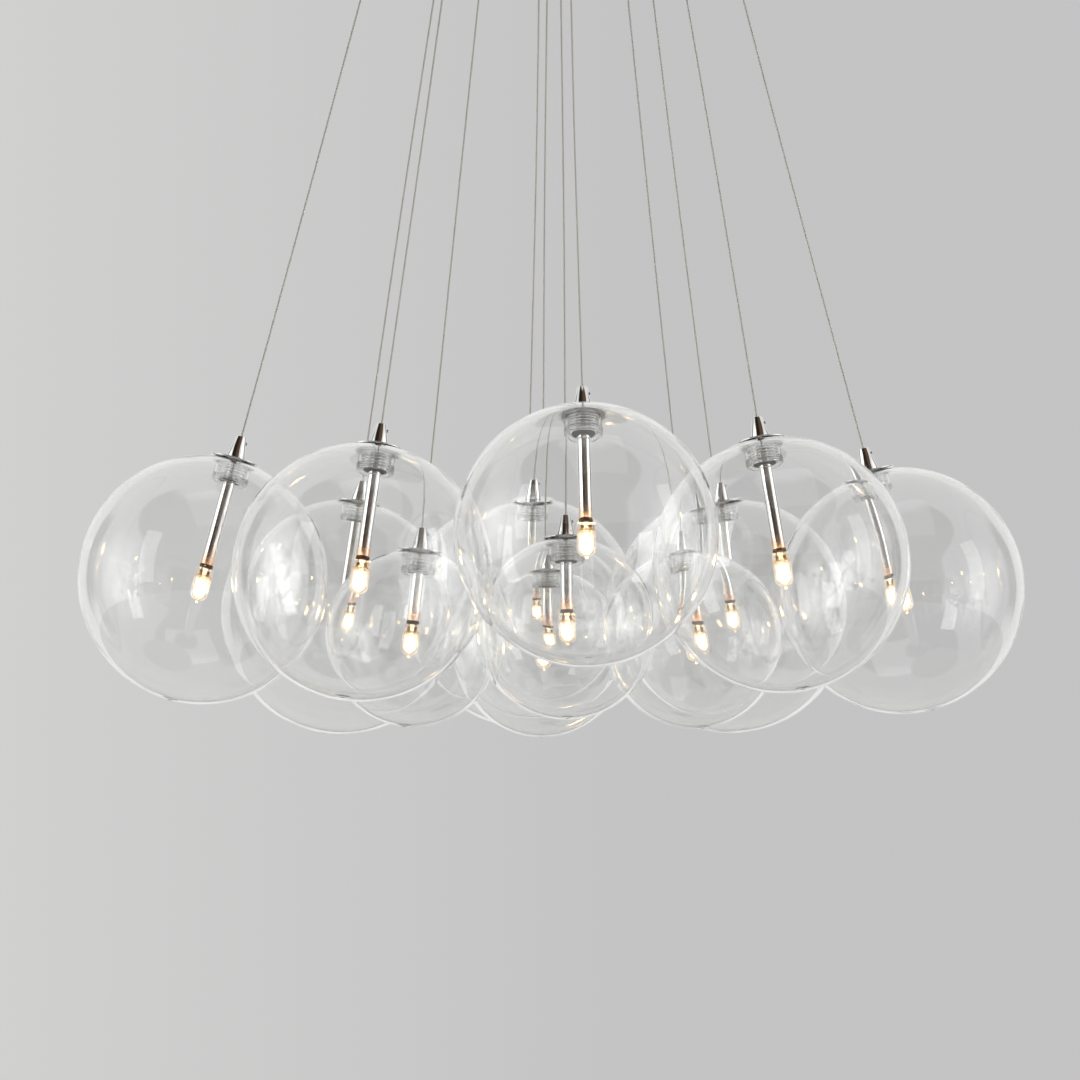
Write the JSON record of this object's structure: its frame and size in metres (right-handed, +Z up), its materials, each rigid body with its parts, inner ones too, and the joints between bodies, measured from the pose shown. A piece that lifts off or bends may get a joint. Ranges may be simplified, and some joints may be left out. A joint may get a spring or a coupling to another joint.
{
  "type": "cluster pendant light",
  "caption": "Ceiling cluster pendant: clear glass globes with small capsule lamps hang on thin cords from one round canopy, large ones in a ring and small ones lower in the middle.",
  "frame": {"origin": "on the ceiling, midway between the mounting bar's two screw slots", "axes": "+Z up into the ceiling, -Y to the front, +X to the right along the mounting bar"},
  "size_m": [0.5356, 0.5356, 0.5006],
  "materials": {
    "polished_metal": "polished",
    "clear_glass": "clear blown glass",
    "lamp_glass": "clear quartz, warm when lit",
    "cord": "fine metal braid",
    "plated_steel": "zinc plated",
    "case_plastic": "matt moulded",
    "terminal_plastic": "satin moulded"
  },
  "bodies": {
    "canopy": {"canopy_cover": "polished_metal", "cord_grips": "polished_metal", "grip_nuts": "plated_steel", "mounting_bar": "plated_steel", "canopy_studs": "plated_steel", "cap_nuts": "polished_metal", "earth_screw": "plated_steel", "transformer_left": "case_plastic", "transformer_right": "case_plastic", "mains_block": "terminal_plastic", "lamp_blocks": "terminal_plastic", "gear_fixings": "plated_steel", "cord_inner_front": "cord", "holder_inner_front": "polished_metal", "cord_inner_right": "cord", "holder_inner_right": "polished_metal", "cord_inner_back": "cord", "holder_inner_back": "polished_metal", "cord_inner_left": "cord", "holder_inner_left": "polished_metal"},
    "pendant_front": {"cord_front": "cord", "holder_front": "polished_metal"},
    "globe_front": {"globe_front": "clear_glass"},
    "lamp_front": {"lamp_front": "lamp_glass"},
    "pendant_right": {"cord_right": "cord", "holder_right": "polished_metal"},
    "globe_right": {"globe_right": "clear_glass"},
    "lamp_right": {"lamp_right": "lamp_glass"},
    "pendant_back": {"cord_back": "cord", "holder_back": "polished_metal"},
    "globe_back": {"globe_back": "clear_glass"},
    "lamp_back": {"lamp_back": "lamp_glass"},
    "pendant_left": {"cord_left": "cord", "holder_left": "polished_metal"},
    "globe_left": {"globe_left": "clear_glass"},
    "lamp_left": {"lamp_left": "lamp_glass"},
    "pendant_front_right": {"cord_front_right": "cord", "holder_front_right": "polished_metal"},
    "globe_front_right": {"globe_front_right": "clear_glass"},
    "lamp_front_right": {"lamp_front_right": "lamp_glass"},
    "pendant_back_right": {"cord_back_right": "cord", "holder_back_right": "polished_metal"},
    "globe_back_right": {"globe_back_right": "clear_glass"},
    "lamp_back_right": {"lamp_back_right": "lamp_glass"},
    "pendant_back_left": {"cord_back_left": "cord", "holder_back_left": "polished_metal"},
    "globe_back_left": {"globe_back_left": "clear_glass"},
    "lamp_back_left": {"lamp_back_left": "lamp_glass"},
    "pendant_front_left": {"cord_front_left": "cord", "holder_front_left": "polished_metal"},
    "globe_front_left": {"globe_front_left": "clear_glass"},
    "lamp_front_left": {"lamp_front_left": "lamp_glass"},
    "globe_inner_front": {"globe_inner_front": "clear_glass"},
    "lamp_inner_front": {"lamp_inner_front": "lamp_glass"},
    "globe_inner_right": {"globe_inner_right": "clear_glass"},
    "lamp_inner_right": {"lamp_inner_right": "lamp_glass"},
    "globe_inner_back": {"globe_inner_back": "clear_glass"},
    "lamp_inner_back": {"lamp_inner_back": "lamp_glass"},
    "globe_inner_left": {"globe_inner_left": "clear_glass"},
    "lamp_inner_left": {"lamp_inner_left": "lamp_glass"}
  },
  "joints": [
    {"name": "swing_front", "type": "hinge", "parent": "canopy", "child": "pendant_front", "pos_m": [0, -0.0985, -0.0387], "axis": [-1, 0, 0], "range_deg": [0, 20]},
    {"name": "lower_globe_front", "type": "slide", "parent": "pendant_front", "child": "globe_front", "axis": [0, -0.2578, -0.9662], "range_m": [0, 0.09]},
    {"name": "pull_lamp_front", "type": "slide", "parent": "pendant_front", "child": "lamp_front", "axis": [0, -0.2578, -0.9662], "range_m": [0, 0.0085]},
    {"name": "swing_right", "type": "hinge", "parent": "canopy", "child": "pendant_right", "pos_m": [0.0985, 0, -0.0387], "axis": [0, -1, 0], "range_deg": [0, 20]},
    {"name": "lower_globe_right", "type": "slide", "parent": "pendant_right", "child": "globe_right", "axis": [0.2521, 0, -0.9677], "range_m": [0, 0.09]},
    {"name": "pull_lamp_right", "type": "slide", "parent": "pendant_right", "child": "lamp_right", "axis": [0.2521, 0, -0.9677], "range_m": [0, 0.0085]},
    {"name": "swing_back", "type": "hinge", "parent": "canopy", "child": "pendant_back", "pos_m": [0, 0.0985, -0.0387], "axis": [1, 0, 0], "range_deg": [0, 20]},
    {"name": "lower_globe_back", "type": "slide", "parent": "pendant_back", "child": "globe_back", "axis": [0, 0.2552, -0.9669], "range_m": [0, 0.09]},
    {"name": "pull_lamp_back", "type": "slide", "parent": "pendant_back", "child": "lamp_back", "axis": [0, 0.2552, -0.9669], "range_m": [0, 0.0085]},
    {"name": "swing_left", "type": "hinge", "parent": "canopy", "child": "pendant_left", "pos_m": [-0.0985, 0, -0.0387], "axis": [0, 1, 0], "range_deg": [0, 20]},
    {"name": "lower_globe_left", "type": "slide", "parent": "pendant_left", "child": "globe_left", "axis": [-0.254, 0, -0.9672], "range_m": [0, 0.09]},
    {"name": "pull_lamp_left", "type": "slide", "parent": "pendant_left", "child": "lamp_left", "axis": [-0.254, 0, -0.9672], "range_m": [0, 0.0085]},
    {"name": "swing_front_right", "type": "hinge", "parent": "canopy", "child": "pendant_front_right", "pos_m": [0.0601, -0.0601, -0.0387], "axis": [-0.7071, -0.7071, 0], "range_deg": [0, 20]},
    {"name": "lower_globe_front_right", "type": "slide", "parent": "pendant_front_right", "child": "globe_front_right", "axis": [0.1411, -0.1411, -0.9799], "range_m": [0, 0.09]},
    {"name": "pull_lamp_front_right", "type": "slide", "parent": "pendant_front_right", "child": "lamp_front_right", "axis": [0.1411, -0.1411, -0.9799], "range_m": [0, 0.0085]},
    {"name": "swing_back_right", "type": "hinge", "parent": "canopy", "child": "pendant_back_right", "pos_m": [0.0601, 0.0601, -0.0387], "axis": [0.7071, -0.7071, 0], "range_deg": [0, 20]},
    {"name": "lower_globe_back_right", "type": "slide", "parent": "pendant_back_right", "child": "globe_back_right", "axis": [0.139, 0.139, -0.9805], "range_m": [0, 0.09]},
    {"name": "pull_lamp_back_right", "type": "slide", "parent": "pendant_back_right", "child": "lamp_back_right", "axis": [0.139, 0.139, -0.9805], "range_m": [0, 0.0085]},
    {"name": "swing_back_left", "type": "hinge", "parent": "canopy", "child": "pendant_back_left", "pos_m": [-0.0601, 0.0601, -0.0387], "axis": [0.7071, 0.7071, 0], "range_deg": [0, 20]},
    {"name": "lower_globe_back_left", "type": "slide", "parent": "pendant_back_left", "child": "globe_back_left", "axis": [-0.1383, 0.1383, -0.9807], "range_m": [0, 0.09]},
    {"name": "pull_lamp_back_left", "type": "slide", "parent": "pendant_back_left", "child": "lamp_back_left", "axis": [-0.1383, 0.1383, -0.9807], "range_m": [0, 0.0085]},
    {"name": "swing_front_left", "type": "hinge", "parent": "canopy", "child": "pendant_front_left", "pos_m": [-0.0601, -0.0601, -0.0387], "axis": [-0.7071, 0.7071, 0], "range_deg": [0, 20]},
    {"name": "lower_globe_front_left", "type": "slide", "parent": "pendant_front_left", "child": "globe_front_left", "axis": [-0.139, -0.139, -0.9805], "range_m": [0, 0.09]},
    {"name": "pull_lamp_front_left", "type": "slide", "parent": "pendant_front_left", "child": "lamp_front_left", "axis": [-0.139, -0.139, -0.9805], "range_m": [0, 0.0085]},
    {"name": "lower_globe_inner_front", "type": "slide", "parent": "canopy", "child": "globe_inner_front", "axis": [0, -0.0991, -0.9951], "range_m": [0, 0.07]},
    {"name": "pull_lamp_inner_front", "type": "slide", "parent": "canopy", "child": "lamp_inner_front", "axis": [0, -0.0991, -0.9951], "range_m": [0, 0.0085]},
    {"name": "lower_globe_inner_right", "type": "slide", "parent": "canopy", "child": "globe_inner_right", "axis": [0.0994, 0, -0.995], "range_m": [0, 0.07]},
    {"name": "pull_lamp_inner_right", "type": "slide", "parent": "canopy", "child": "lamp_inner_right", "axis": [0.0994, 0, -0.995], "range_m": [0, 0.0085]},
    {"name": "lower_globe_inner_back", "type": "slide", "parent": "canopy", "child": "globe_inner_back", "axis": [0, 0.0994, -0.995], "range_m": [0, 0.07]},
    {"name": "pull_lamp_inner_back", "type": "slide", "parent": "canopy", "child": "lamp_inner_back", "axis": [0, 0.0994, -0.995], "range_m": [0, 0.0085]},
    {"name": "lower_globe_inner_left", "type": "slide", "parent": "canopy", "child": "globe_inner_left", "axis": [-0.0994, 0, -0.995], "range_m": [0, 0.07]},
    {"name": "pull_lamp_inner_left", "type": "slide", "parent": "canopy", "child": "lamp_inner_left", "axis": [-0.0994, 0, -0.995], "range_m": [0, 0.0085]}
  ]
}
